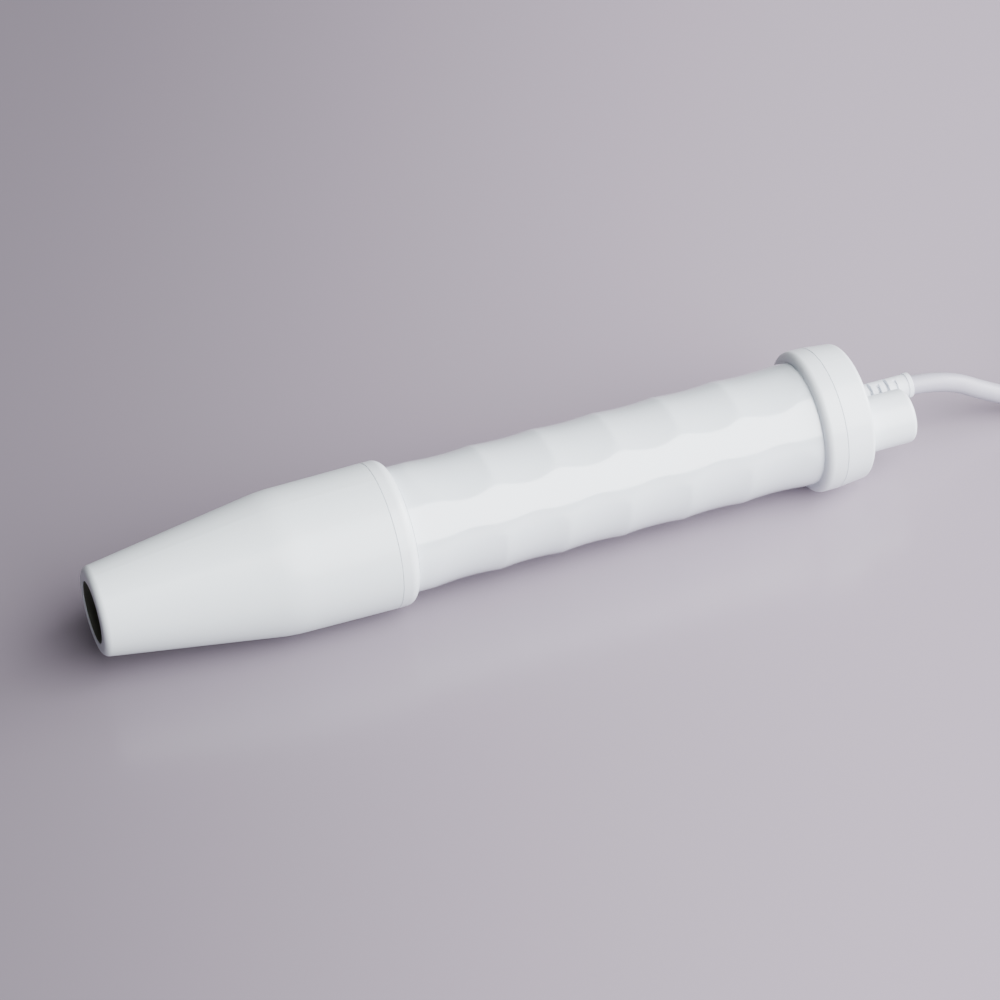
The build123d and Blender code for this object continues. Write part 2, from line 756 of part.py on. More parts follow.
def build_board():
    """Driver board, its four screws, and the parts soldered on it, from the front to the rear."""
    with BuildPart() as driver_board:
        with BuildSketch(level(board_under)):
            Rectangle(board_length, board_width)
            with board_screw_places():
                Circle(board_screw_radius + board_hole_clearance, mode=Mode.SUBTRACT)
        extrude(amount=board_thickness)
    finish(driver_board, "driver_board")

    with BuildPart() as board_screws:
        with BuildSketch(level(board_top)):
            with board_screw_places():
                Circle(board_screw_head)
        extrude(amount=board_screw_head_height)
        with BuildSketch(level(board_top)):
            with board_screw_places():
                Circle(board_screw_radius)
        extrude(amount=-board_thickness - standoff_height)
        with BuildSketch(level(board_top + board_screw_head_height)):
            with board_screw_places():
                Rectangle(board_screw_head * slot_share, board_screw_slot)
                Rectangle(board_screw_slot, board_screw_head * slot_share)
        extrude(amount=-board_screw_head_height / 2, mode=Mode.SUBTRACT)
    finish(board_screws, "board_screws")

    header_end = board_start + header_inset + header_length
    with BuildPart() as lead_header:
        header_top = lead_height + lead_wire_radius + header_wall
        block(header_end - header_length, header_end, (-header_half, header_half), (board_top, header_top))
        with BuildSketch(level(header_top, header_end - header_length / 2)):
            with GridLocations(0, header_half, 1, 2):
                Circle(header_screw_radius)
        extrude(amount=-header_screw_depth, mode=Mode.SUBTRACT)
    finish(lead_header, "lead_header")

    core_start = header_end + part_spacing
    core_middle = core_start + core_length / 2
    leg = core_length / core_leg_count
    window = (core_length - 4 * leg) / 2
    core_top = board_top + core_height
    with BuildPart() as transformer_core:
        sides = (-core_width / 2, core_width / 2)
        block(core_start, core_start + core_length, sides, (board_top, core_top))
        for start in (core_start + leg, core_middle + leg):
            gap = (board_top + leg, core_top - leg)
            block(start, start + window, sides, gap, mode=Mode.SUBTRACT)
    finish(transformer_core, "transformer_core")

    with BuildPart() as transformer_winding:
        reach = 2 * window - 4 * winding_play
        with BuildSketch(level(board_top + leg + winding_play, core_middle)):
            RectangleRounded(2 * leg + reach, core_width + reach, window * 0.8)
            Rectangle(2 * leg + winding_play, core_width + winding_play, mode=Mode.SUBTRACT)
        extrude(amount=core_height - 2 * leg - 2 * winding_play)
    finish(transformer_winding, "transformer_winding")

    sink_start = core_start + core_length + part_spacing
    sink_middle = sink_start + sink_length / 2
    with BuildPart() as heatsink:
        half = sink_thickness / 2
        top = board_top + sink_height
        block(sink_start, sink_start + sink_length, (-half, half), (board_top, top))
        for start in (sink_start, sink_start + sink_length - sink_thickness):
            block(start, start + sink_thickness, (-sink_fin, sink_fin), (board_top, top))
    finish(heatsink, "heatsink")

    for number, side in ((1, -1), (2, 1)):
        with BuildPart() as output_transistor:
            inner = side * sink_thickness / 2
            tab_sides = sorted((inner, inner + side * transistor_tab))
            body_sides = sorted((inner, inner + side * transistor_thickness))
            start, end = sink_middle - transistor_width / 2, sink_middle + transistor_width / 2
            foot = board_top + transistor_foot
            shoulder_height = foot + transistor_height
            tab_top = board_top + sink_height - sink_margin
            block(start, end, body_sides, (foot, shoulder_height))
            block(start, end, tab_sides, (shoulder_height, tab_top))
            for place in (-pot_pin_pitch, 0, pot_pin_pitch):
                pin_depths = (transistor_pin_start, transistor_pin_end)
                pin_sides = sorted(inner + side * depth for depth in pin_depths)
                pin_start = sink_middle + place - pot_pin_width / 2
                block(pin_start, pin_start + pot_pin_width, pin_sides, (board_top, foot))
        finish(output_transistor, f"output_transistor_{number}")

    can_station = sink_start + sink_length + part_spacing / 2 + capacitor_radius
    for number, side in ((1, -1), (2, 1)):
        with BuildPart() as filter_capacitor:
            with BuildSketch(level(board_top, can_station, side * (capacitor_radius + capacitor_gap / 2))):
                Circle(capacitor_radius)
            extrude(amount=capacitor_height)
            fillet(filter_capacitor.faces().sort_by(Axis.Z)[-1].edges(), capacitor_rounding)
        finish(filter_capacitor, f"filter_capacitor_{number}")

    with BuildPart() as control_chip:
        with BuildSketch(level(board_under)):
            Rectangle(chip_length, chip_width)
        extrude(amount=-chip_thickness)
    finish(control_chip, "control_chip")

    cord_header_start = can_station + capacitor_radius + part_spacing / 2
    with BuildPart() as cord_header:
        header_sides = (relief_offset - header_half, relief_offset + header_half)
        header_top = inner_lead_diameter / 2 + lead_header_wall
        block(cord_header_start, cord_header_start + header_length, header_sides, (board_top, header_top))
    finish(cord_header, "cord_header")

    with BuildPart() as inner_lead:
        lead_start = cord_header_start + header_length
        tube(lead_start, relief_end - cord_start_depth, inner_lead_diameter / 2, about=relief_axis)
    finish(inner_lead, "inner_lead")

    with BuildPart() as pot_ribbon:
        ribbon_sides = (-knob_offset, -knob_offset + ribbon_width)
        block(lead_start, cap_inside - pot_depth, ribbon_sides, (0, ribbon_thickness))
        block(lead_start, lead_start + ribbon_thickness, ribbon_sides, (board_top, ribbon_thickness))
    finish(pot_ribbon, "pot_ribbon")

    with BuildPart() as transducer_leads:
        wire_level = horn_radius + tab_reach / 2 + lead_wire_radius / 2
        turn_station = (back_mass_end + bolt_head_length + chassis_front) / 2
        for side in (-1, 1):
            wire_y = side * (tab_width / 2 + lead_wire_radius)
            route = [
                (horn_rear_station + piezo_thickness, side * wire_level),
                (turn_station, side * wire_level),
                (turn_station, lead_height),
                (header_end - header_length, lead_height),
            ]
            with BuildLine() as wire:
                FilletPolyline(
                    *((tip_x + station, wire_y, axis_height + height) for station, height in route),
                    radius=3 * lead_wire_radius,
                )
            with BuildSketch(section(route[0][0], (wire_y, route[0][1]))) as wire_section:
                Circle(lead_wire_radius)
            sweep(wire_section.sketch, path=wire.line)
    finish(transducer_leads, "transducer_leads")


# ---- lead ----------------------------------------------------------------------------------------
def build_relief():
    """Strain relief held in the cap, with open slots cut part of the way round, and its ferrule."""
    cord_radius = cord_diameter / 2
    jacket_start = relief_end - cord_start_depth
    flange_start = cap_inside - relief_flange_thickness
    with BuildPart() as strain_relief:
        tube(flange_start, cap_inside, relief_flange_radius, about=relief_axis)
        tube(cap_inside, cap_end, relief_neck_radius, about=relief_axis)
        tube(cap_end, relief_end, relief_radius, about=relief_axis)
        tube(relief_end - relief_rim, relief_end, relief_end_radius, about=relief_axis)
        fillet(rims(strain_relief, relief_end, relief_end_radius), relief_rounding)
        tube(flange_start, jacket_start, inner_lead_diameter / 2, about=relief_axis, mode=Mode.SUBTRACT)
        tube(jacket_start, relief_end, cord_radius, about=relief_axis, mode=Mode.SUBTRACT)
        for number in range(slot_count):
            start = cap_end + slot_first + number * slot_pitch - slot_width / 2
            over_jacket = start + slot_width > jacket_start
            slot_radius = cord_radius + slot_floor if over_jacket else inner_lead_diameter / 2 + slot_core
            bridge_angle = bridge_direction + (bridge_swing if number % 2 else -bridge_swing)
            with BuildSketch(section(start, relief_axis)):
                Circle(2 * relief_radius)
                Circle(slot_radius, mode=Mode.SUBTRACT)
                Rectangle(5 * relief_radius, bridge_width, rotation=bridge_angle, mode=Mode.SUBTRACT)
            extrude(amount=slot_width, mode=Mode.SUBTRACT)
    finish(strain_relief, "strain_relief")

    with BuildPart() as cord_ferrule:
        end = flange_start - ferrule_gap
        tube(end - ferrule_length, end, relief_neck_radius, inner_lead_diameter / 2, about=relief_axis)
    finish(cord_ferrule, "cord_ferrule")


def lay_cord(points, name):
    """Sweep the cord along straight runs joined by tangent arcs, and print the arcs' radii."""
    runs = [(Vector(*b) - Vector(*a)) for a, b in zip(points, points[1:])]
    bends = []
    for before, after in zip(runs, runs[1:]):
        half_turn = radians(before.get_angle(after)) / 2
        bends.append(0.45 * min(before.length, after.length) / tan(half_turn))
    print(name, "bend radii", [round(bend, 1) for bend in bends])
    with BuildPart() as piece:
        with BuildLine() as route:
            FilletPolyline(*points, radius=bends)
        with BuildSketch(Plane(origin=points[0], z_dir=runs[0])) as round_section:
            Circle(cord_diameter / 2)
        sweep(round_section.sketch, path=route.line)
    finish(piece, name)


def build_cord():
    """Lead from the strain relief down to its hank, the hank and its ties, and the lead's end."""
    outlet = tip_x + relief_end
    run_middle = outlet + hank_gap + hank_run / 2 + outer_fold + cord_diameter / 2
    side = outer_fold
    bottom = tie_thickness + cord_diameter / 2
    lay_cord(
        [
            (outlet - cord_start_depth, relief_offset, axis_height),
            (outlet + 10.0, relief_offset, axis_height),
            (outlet + 30.0, relief_offset, 9.0),
            (outlet + 48.0, relief_offset - 5.9, 4.2),
            (outlet + 72.0, relief_offset - 19.0, bottom),
            (run_middle - hank_run / 2, hank_centre_y - side, bottom),
        ],
        "cord",
    )
    layers = 3
    height = layers * cord_diameter
    with BuildPart() as cord_hank:
        with BuildSketch(Plane(origin=(run_middle, hank_centre_y, tie_thickness))):
            SlotCenterToCenter(hank_run, 2 * (side + cord_diameter / 2))
            SlotCenterToCenter(hank_run, 2 * (fold_radius - cord_diameter / 2), mode=Mode.SUBTRACT)
        extrude(amount=height)
        fillet(cord_hank.faces().filter_by(Axis.Z).edges(), cord_diameter / 2 - 0.2)
    finish(cord_hank, "cord_hank")

    with BuildPart() as hank_ties:
        for edge in (-1, 1):
            middle = (hank_centre_y + edge * (fold_radius + side) / 2, tie_thickness + height / 2)
            start = run_middle - tie_width / 2
            plane = Plane(origin=(start, *middle), x_dir=(0, 1, 0), z_dir=(1, 0, 0))
            with BuildSketch(plane):
                inner_width = 2 * cord_diameter
                wide = inner_width + 2 * tie_thickness
                RectangleRounded(wide, height + 2 * tie_thickness, cord_diameter / 2 + tie_thickness)
                RectangleRounded(inner_width, height, cord_diameter / 2 - 0.2, mode=Mode.SUBTRACT)
            extrude(amount=tie_width)
    finish(hank_ties, "hank_ties")

    tail_start = run_middle + hank_run / 2
    boot_start = run_middle - 6.0
    lay_cord(
        [
            (tail_start - 2.0, hank_centre_y + fold_radius, bottom),
            (tail_start - 21.0, hank_centre_y + 14.6, bottom + 0.3),
            (boot_start + 15.5, hank_centre_y + 3.6, 6.0),
            (boot_start + 5.0, hank_centre_y, plug_radius),
            (boot_start - jacket_in_boot, hank_centre_y, plug_radius),
        ],
        "cord_tail",
    )
    return boot_start - tip_x


def build_plug(start):
    """Round plug on the end of the lead, pointing back at the wand: boot, body, shell and contacts."""
    place = (hank_centre_y, plug_radius - axis_height)
    jacket_end = start - jacket_in_boot
    boot_end = start - plug_boot_length
    body_end = boot_end - plug_body_length
    shell_end = body_end - plug_shell_length
    insert_end = shell_end + plug_pin_length
    cord_radius = cord_diameter / 2
    shell_bore = plug_shell_radius - plug_shell_wall
    with BuildPart() as plug_boot:
        turn(
            (start, cord_radius),
            (start, cord_radius + boot_wall),
            (boot_end, plug_radius - boot_wall),
            (boot_end, 0),
            (jacket_end, 0),
            (jacket_end, cord_radius),
            about=place,
        )
    finish(plug_boot, "plug_boot")

    with BuildPart() as plug_body:
        tube(body_end, boot_end, plug_radius, about=place)
        fillet(rims(plug_body, boot_end, plug_radius), 1.0)
        fillet(rims(plug_body, body_end, plug_radius), 0.6)
    finish(plug_body, "plug_body")

    with BuildPart() as plug_shell:
        tube(shell_end, body_end, plug_shell_radius, shell_bore, about=place)
    finish(plug_shell, "plug_shell")

    with BuildPart() as plug_insert:
        tube(insert_end, body_end, shell_bore, about=place)
        with BuildSketch(section(insert_end, place)):
            with PolarLocations(plug_pin_circle, plug_pin_count):
                Circle(plug_pin_radius)
        extrude(amount=body_end - insert_end, mode=Mode.SUBTRACT)
    finish(plug_insert, "plug_insert")

    with BuildPart() as plug_pins:
        with BuildSketch(section(shell_end + pin_recess, place)):
            with PolarLocations(plug_pin_circle, plug_pin_count):
                Circle(plug_pin_radius)
        extrude(amount=body_end - shell_end - pin_recess)
    finish(plug_pins, "plug_pins")


build_nose()
build_coupling()
build_horn()
build_stack()
build_carrier()
build_grip()
build_rear()
build_control()
build_chassis()
build_board()
build_relief()
build_plug(build_cord())
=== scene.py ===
"""Visual model of a therapy wand that lies on its side, with its lead put away in a hank behind it.

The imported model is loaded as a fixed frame. Lengths are in metres, +X runs from the nose to the rear
and +Z is up. Each sub-assembly is a class that builds its pieces and dresses them.
"""

from __future__ import annotations

import logging
import math
from dataclasses import dataclass
from enum import Enum
from typing import Any, Sequence

import bmesh
import bpy
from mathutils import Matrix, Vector


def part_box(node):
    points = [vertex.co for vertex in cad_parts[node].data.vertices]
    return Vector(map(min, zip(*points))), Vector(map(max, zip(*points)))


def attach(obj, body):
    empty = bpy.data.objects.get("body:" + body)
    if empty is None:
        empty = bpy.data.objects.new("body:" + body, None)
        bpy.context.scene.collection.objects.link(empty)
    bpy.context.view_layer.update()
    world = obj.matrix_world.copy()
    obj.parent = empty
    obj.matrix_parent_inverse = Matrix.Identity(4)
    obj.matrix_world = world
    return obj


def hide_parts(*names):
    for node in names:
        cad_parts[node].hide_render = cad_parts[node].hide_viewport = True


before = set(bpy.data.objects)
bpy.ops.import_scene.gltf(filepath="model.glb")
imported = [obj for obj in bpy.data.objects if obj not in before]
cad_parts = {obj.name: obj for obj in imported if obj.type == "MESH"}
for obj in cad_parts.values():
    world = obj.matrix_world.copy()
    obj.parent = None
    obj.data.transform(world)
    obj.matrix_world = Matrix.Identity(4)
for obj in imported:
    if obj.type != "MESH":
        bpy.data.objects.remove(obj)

logging.basicConfig(level=logging.INFO, format="%(name)s: %(message)s")
log = logging.getLogger("therapy_wand")

Colour = tuple[float, float, float]
Point = tuple[float, float, float]

AXIS_HEIGHT = 0.022


# ---- shader maths ----------------------------------------------------------------------------------
class Signal:
    """A socket of a material's node tree that can be used in arithmetic."""

    def __init__(self, book: "ShaderBook", socket: bpy.types.NodeSocket) -> None:
        """Keep the book that makes nodes, and the socket that holds the value."""
        self.book = book
        self.socket = socket

    def _with(self, operation: str, *values: "Signal | float") -> "Signal":
        """Add a Math node.

        Args:
            operation: The Math node's operation.
            values: Its inputs, in order.

        Returns:
            The node's result.
        """
        inputs = dict(enumerate(values))
        return self.book.node("ShaderNodeMath", {"operation": operation}, inputs).out(0)

    def __add__(self, other: "Signal | float") -> "Signal":
        """Sum."""
        return self._with("ADD", self, other)

    __radd__ = __add__

    def __sub__(self, other: "Signal | float") -> "Signal":
        """Difference."""
        return self._with("SUBTRACT", self, other)

    def __rsub__(self, other: float) -> "Signal":
        """Difference from a number."""
        return self._with("SUBTRACT", other, self)

    def __mul__(self, other: "Signal | float") -> "Signal":
        """Product."""
        return self._with("MULTIPLY", self, other)

    __rmul__ = __mul__

    def sine(self) -> "Signal":
        """Sine of the value in radians."""
        return self._with("SINE", self)

    def size(self) -> "Signal":
        """Value without its sign."""
        return self._with("ABSOLUTE", self)

    def stepped(self, low: float, high: float) -> "Signal":
        """Smooth step.

        Args:
            low: Value that gives nought.
            high: Value that gives one.

        Returns:
            The value between nought and one.
        """
        settings = {"interpolation_type": "SMOOTHSTEP", "clamp": True}
        inputs = {"Value": self, "From Min": low, "From Max": high, "To Min": 0.0, "To Max": 1.0}
        return self.book.node("ShaderNodeMapRange", settings, inputs).out("Result")


class MadeNode:
    """A node that has just been made, with its outputs at hand."""

    def __init__(self, book: "ShaderBook", node: bpy.types.Node) -> None:
        """Keep the node and its book."""
        self.book = book
        self.node = node

    def out(self, name: str | int) -> Signal:
        """Output by name or number."""
        return Signal(self.book, self.node.outputs[name])


class ShaderBook:
    """One material's node tree, with a single method that makes its nodes."""

    def __init__(self, name: str) -> None:
        """Make an empty material.

        Args:
            name: The material's name.
        """
        self.material = bpy.data.materials.new(name)
        self.material.use_nodes = True
        self.tree = self.material.node_tree
        self.tree.nodes.clear()
        self.surface = self.node("ShaderNodeBsdfPrincipled", {}, {})
        self.node("ShaderNodeOutputMaterial", {}, {"Surface": self.surface.out("BSDF")})
        self.place = self.node("ShaderNodeTexCoord", {}, {}).out("Object")

    def node(self, kind: str, settings: dict[str, Any], inputs: dict[str | int, Any]) -> MadeNode:
        """Make a node.

        Args:
            kind: The node's type.
            settings: Its properties, which are set first.
            inputs: Values or signals for its sockets, by name or number.

        Returns:
            The node with its outputs.
        """
        made = self.tree.nodes.new(kind)
        for key, value in settings.items():
            setattr(made, key, value)
        for key, value in inputs.items():
            if isinstance(value, Signal):
                self.tree.links.new(value.socket, made.inputs[key])
            else:
                made.inputs[key].default_value = value
        return MadeNode(self, made)

    def noise(self, scale: float, detail: float = 2.0, stretch: Point = (1.0, 1.0, 1.0)) -> Signal:
        """Noise in the piece's own space.

        Args:
            scale: Features per metre.
            detail: Octaves.
            stretch: Scale along each axis, so that small values draw the pattern out.

        Returns:
            The noise, about one half.
        """
        place = self.node("ShaderNodeMapping", {}, {"Vector": self.place, "Scale": stretch})
        inputs = {"Vector": place.out("Vector"), "Scale": scale, "Detail": detail, "Roughness": 0.55}
        return self.node("ShaderNodeTexNoise", {"noise_dimensions": "3D"}, inputs).out(0)

    def cells(self, scale: float, stretch: Point = (1.0, 1.0, 1.0)) -> Signal:
        """Distance to the nearest of many scattered points, scaled per metre."""
        place = self.node("ShaderNodeMapping", {}, {"Vector": self.place, "Scale": stretch})
        inputs = {"Vector": place.out("Vector"), "Scale": scale}
        return self.node("ShaderNodeTexVoronoi", {}, inputs).out("Distance")

    def along(self, axis: str) -> Signal:
        """One coordinate of the piece's own space, in metres."""
        parts = self.node("ShaderNodeSeparateXYZ", {}, {"Vector": self.place})
        return parts.out(axis)

    def blend(self, share: Signal | float, first: Colour | Signal, second: Colour | Signal) -> Signal:
        """Mix two colours.

        Args:
            share: How much of the second colour.
            first: Colour where the share is nought.
            second: Colour where the share is one.

        Returns:
            The mixed colour.
        """
        ends = [end if isinstance(end, Signal) else (*end, 1.0) for end in (first, second)]
        inputs = {"Factor": share, 6: ends[0], 7: ends[1]}
        return self.node("ShaderNodeMix", {"data_type": "RGBA"}, inputs).out(2)

    def relief(self, height: Signal, depth: float, below: Signal | None = None) -> Signal:
        """Bump.

        Args:
            height: Height from nought to one.
            depth: Height in metres that one stands for.
            below: A bump that this one lies on.

        Returns:
            The normal.
        """
        inputs: dict[str | int, Any] = {"Height": height, "Distance": depth, "Strength": 1.0}
        if below is not None:
            inputs["Normal"] = below
        return self.node("ShaderNodeBump", {}, inputs).out("Normal")

    def set(self, **values: Any) -> None:
        """Set or link the surface's sockets; a double underscore stands for a space."""
        for key, value in values.items():
            socket = self.surface.node.inputs[key.replace("__", " ")]
            if isinstance(value, Signal):
                self.tree.links.new(value.socket, socket)
            elif isinstance(value, tuple):
                socket.default_value = (*value, 1.0)
            else:
                socket.default_value = value


# ---- finishes --------------------------------------------------------------------------------------
@dataclass(frozen=True)
class MouldedPlastic:
    """Injection-moulded plastic: faint mottling, fine grain, and handling marks in its gloss."""

    name: str
    colour: Colour
    shade: Colour
    roughness: float = 0.32
    coat: float = 0.0
    grain: float = 9000.0
    grain_depth: float = 2.5e-6
    wave_depth: float = 1.2e-5
    handled: float = 0.1

    def make(self) -> bpy.types.Material:
        """Build the material."""
        book = ShaderBook(self.name)
        mottle = book.noise(38.0, 3.0).stepped(0.3, 0.75)
        specks = 1.0 - book.cells(520.0).stepped(0.02, 0.07)
        tinted = book.blend(mottle, self.colour, self.shade)
        dusty = book.blend(specks * 0.12, tinted, tuple(0.55 * c for c in self.shade))
        smears = book.noise(90.0, 4.0, (1.0, 2.2, 2.2)).stepped(0.45, 0.8)
        scuffs = book.noise(1400.0, 2.0, (0.12, 1.0, 1.0)).stepped(0.6, 0.72)
        waves = book.relief(book.noise(160.0, 1.0), self.wave_depth)
        grain = book.relief(book.noise(self.grain, 2.0), self.grain_depth, waves)
        book.set(
            Base__Color=dusty,
            Roughness=self.roughness + smears * self.handled + scuffs * (0.5 * self.handled),
            Normal=grain,
            Coat__Weight=self.coat,
            Coat__Roughness=0.12,
            IOR=1.49,
        )
        return book.material


@dataclass(frozen=True)
class TurnedMetal:
    """Metal turned on a lathe, with fine rings across the centre line and a little tarnish."""

    name: str
    colour: Colour
    tarnish: Colour
    roughness: float = 0.3
    rings_per_metre: float = 5200.0
    ring_depth: float = 3.0e-6

    def make(self) -> bpy.types.Material:
        """Build the material."""
        book = ShaderBook(self.name)
        rings = (book.along("X") * (2 * math.pi * self.rings_per_metre)).sine()
        uneven = book.noise(600.0, 3.0, (4.0, 0.6, 0.6))
        marks = (rings * 0.5 + 0.5) * uneven
        stain = book.noise(70.0, 4.0).stepped(0.5, 0.85)
        book.set(
            Base__Color=book.blend(stain, self.colour, self.tarnish),
            Metallic=1.0,
            Roughness=self.roughness + stain * 0.2 + uneven * 0.08,
            Normal=book.relief(marks, self.ring_depth),
        )
        return book.material


@dataclass(frozen=True)
class SoftRubber:
    """Silicone or nitrile rubber: matt, finely pitted, with a dusty bloom."""

    name: str
    colour: Colour
    bloom: Colour
    roughness: float = 0.6
    pits: float = 5200.0
    pit_depth: float = 8.0e-6
    sheen: float = 0.15

    def make(self) -> bpy.types.Material:
        """Build the material."""
        book = ShaderBook(self.name)
        dust = book.noise(120.0, 4.0).stepped(0.42, 0.8)
        pitting = book.noise(self.pits, 3.0)
        drawn = book.noise(900.0, 2.0, (0.25, 1.0, 1.0))
        book.set(
            Base__Color=book.blend(dust * 0.6, self.colour, self.bloom),
            Roughness=self.roughness + dust * 0.15,
            Normal=book.relief(drawn, 1.0e-5, book.relief(pitting, self.pit_depth)),
            Sheen__Weight=self.sheen,
            Sheen__Roughness=0.45,
        )
        return book.material


@dataclass(frozen=True)
class FiredCeramic:
    """Piezo or ferrite ceramic: dense grain with tiny pores and chipped specks."""

    name: str
    colour: Colour
    fleck: Colour
    roughness: float = 0.5

    def make(self) -> bpy.types.Material:
        """Build the material."""
        book = ShaderBook(self.name)
        grain = book.noise(2600.0, 4.0)
        pores = 1.0 - book.cells(1500.0).stepped(0.05, 0.16)
        book.set(
            Base__Color=book.blend(grain.stepped(0.4, 0.7), self.colour, self.fleck),
            Roughness=self.roughness + grain * 0.2,
            Normal=book.relief(grain - pores * 0.6, 1.2e-5),
        )
        return book.material


@dataclass(frozen=True)
class BoardLaminate:
    """Glass laminate under solder mask, with copper tracks that show through as raised lines."""

    name: str = "solder_mask"
    mask: Colour = (0.012, 0.11, 0.05)
    track: Colour = (0.03, 0.2, 0.08)
    pitch: float = 0.0021

    def make(self) -> bpy.types.Material:
        """Build the material."""
        book = ShaderBook(self.name)
        turn = 2 * math.pi / self.pitch
        wander = book.noise(55.0, 1.0, (1.0, 1.0, 0.0)) * 9.0
        lengthwise = (book.along("Y") * turn + wander).sine().stepped(0.45, 0.6)
        islands = book.noise(140.0, 1.0, (1.0, 1.0, 0.0)).stepped(0.44, 0.47)
        tracks = lengthwise * islands
        weave = (book.along("X") * 9000.0).sine() * (book.along("Y") * 9000.0).sine()
        book.set(
            Base__Color=book.blend(tracks, self.mask, self.track),
            Roughness=0.28 + weave * 0.03,
            Normal=book.relief(tracks + weave * 0.08, 3.0e-5),
            Coat__Weight=0.3,
            Coat__Roughness=0.15,
        )
        return book.material


@dataclass(frozen=True)
class WoundTape:
    """Tape over a winding: overlapping turns, a faint gloss, and copper that shows as ridges."""

    name: str
    colour: Colour
    shade: Colour
    turn: float = 0.0011

    def make(self) -> bpy.types.Material:
        """Build the material."""
        book = ShaderBook(self.name)
        ridge = (book.along("Z") * (2 * math.pi / self.turn)).sine() * 0.5 + 0.5
        wrinkle = book.noise(700.0, 3.0, (1.0, 1.0, 0.3))
        book.set(
            Base__Color=book.blend(ridge * 0.6 + wrinkle * 0.3, self.colour, self.shade),
            Roughness=0.36 + wrinkle * 0.2,
            Normal=book.relief(ridge + wrinkle * 0.4, 6.0e-5),
        )
        return book.material


@dataclass(frozen=True)
class WovenStrap:
    """Hook-and-loop strap: a plain weave that is ribbed along the strap, with a felted bloom."""

    name: str = "strap_weave"
    colour: Colour = (0.028, 0.028, 0.032)
    lint: Colour = (0.11, 0.11, 0.12)
    thread: float = 0.00055

    def make(self) -> bpy.types.Material:
        """Build the material."""
        book = ShaderBook(self.name)
        turn = 2 * math.pi / self.thread
        ribs = (book.along("X") * turn).sine().size()
        crossing = ((book.along("Y") + book.along("Z")) * turn).sine().size()
        fuzz = book.noise(4200.0, 4.0)
        weave = ribs * crossing
        book.set(
            Base__Color=book.blend(fuzz.stepped(0.45, 0.75) * 0.7, self.colour, self.lint),
            Roughness=0.82 + fuzz * 0.12,
            Normal=book.relief(weave + fuzz * 0.5, 1.6e-4),
            Sheen__Weight=0.5,
            Sheen__Roughness=0.4,
        )
        return book.material


class Finish(Enum):
    """Finishes of the wand, by what a maker would call them."""

    SHELL = MouldedPlastic(
        "shell_white", (0.72, 0.78, 0.82), (0.70, 0.76, 0.80), roughness=0.36, coat=0.15, handled=0.08
    )
    GRIP = MouldedPlastic(
        "grip_white", (0.74, 0.80, 0.86), (0.72, 0.785, 0.845), roughness=0.14, coat=1.0, handled=0.04,
        grain_depth=5.0e-7, wave_depth=6.0e-6,
    )
    COLLAR = MouldedPlastic(
        "collar_white", (0.75, 0.80, 0.85), (0.73, 0.785, 0.83), roughness=0.3, coat=0.2, handled=0.06
    )
    KNOB = MouldedPlastic(
        "knob_white", (0.76, 0.81, 0.86), (0.74, 0.79, 0.84), roughness=0.32, coat=0.15, handled=0.12
    )
    RELIEF = MouldedPlastic(
        "relief_white", (0.70, 0.73, 0.78), (0.67, 0.70, 0.76), roughness=0.42, handled=0.08,
        grain_depth=4.0e-6,
    )
    BLACK_PLASTIC = MouldedPlastic(
        "black_nylon", (0.03, 0.03, 0.032), (0.05, 0.05, 0.052), roughness=0.45, grain_depth=6.0e-6
    )
    TERMINAL = MouldedPlastic(
        "terminal_blue", (0.02, 0.09, 0.24), (0.03, 0.12, 0.28), roughness=0.4
    )
    COMPONENT = MouldedPlastic(
        "epoxy_black", (0.012, 0.012, 0.012), (0.03, 0.03, 0.03), roughness=0.5, grain_depth=8.0e-6
    )
    CAN_SLEEVE = MouldedPlastic(
        "capacitor_sleeve", (0.01, 0.016, 0.07), (0.02, 0.03, 0.1), roughness=0.22, coat=0.4
    )
    INSULATION = MouldedPlastic(
        "wire_insulation", (0.42, 0.42, 0.44), (0.34, 0.34, 0.36), roughness=0.4
    )
    PLUG_PLASTIC = MouldedPlastic(
        "plug_grey", (0.10, 0.10, 0.11), (0.13, 0.13, 0.14), roughness=0.42, grain_depth=6.0e-6
    )
    # Painted shade: the mouth's liner gets a dark olive colour that stands in for the shade inside the
    # nose's open bore.
    LINER = SoftRubber("liner_painted_shade", (0.10, 0.108, 0.082), (0.16, 0.168, 0.13), roughness=0.5)
    SEAL = SoftRubber("seal_black", (0.012, 0.012, 0.012), (0.05, 0.05, 0.05), roughness=0.55)
    JACKET = SoftRubber(
        "lead_jacket", (0.36, 0.35, 0.42), (0.41, 0.40, 0.46), roughness=0.38, pits=3800.0,
        pit_depth=3.0e-6, sheen=0.05,
    )
    TITANIUM = TurnedMetal("horn_titanium", (0.42, 0.40, 0.38), (0.28, 0.25, 0.24), roughness=0.28)
    STEEL = TurnedMetal("plain_steel", (0.52, 0.52, 0.53), (0.32, 0.30, 0.29), roughness=0.32)
    NICKEL = TurnedMetal("plug_nickel", (0.70, 0.68, 0.64), (0.5, 0.47, 0.42), roughness=0.18)
    GOLD = TurnedMetal("contact_gold", (0.85, 0.60, 0.26), (0.6, 0.42, 0.2), roughness=0.22)
    BRASS = TurnedMetal("electrode_copper", (0.72, 0.45, 0.22), (0.4, 0.24, 0.13), roughness=0.34)
    ALUMINIUM = TurnedMetal(
        "heatsink_aluminium", (0.72, 0.72, 0.74), (0.55, 0.55, 0.56), roughness=0.35,
        rings_per_metre=1400.0, ring_depth=8.0e-6,
    )
    PIEZO = FiredCeramic("piezo_ceramic", (0.36, 0.32, 0.25), (0.45, 0.41, 0.33))
    FERRITE = FiredCeramic("ferrite_grey", (0.05, 0.05, 0.052), (0.09, 0.09, 0.095))
    LAMINATE = BoardLaminate()
    TAPE = WoundTape("winding_tape", (0.62, 0.36, 0.03), (0.45, 0.25, 0.02))
    STRAP = WovenStrap()


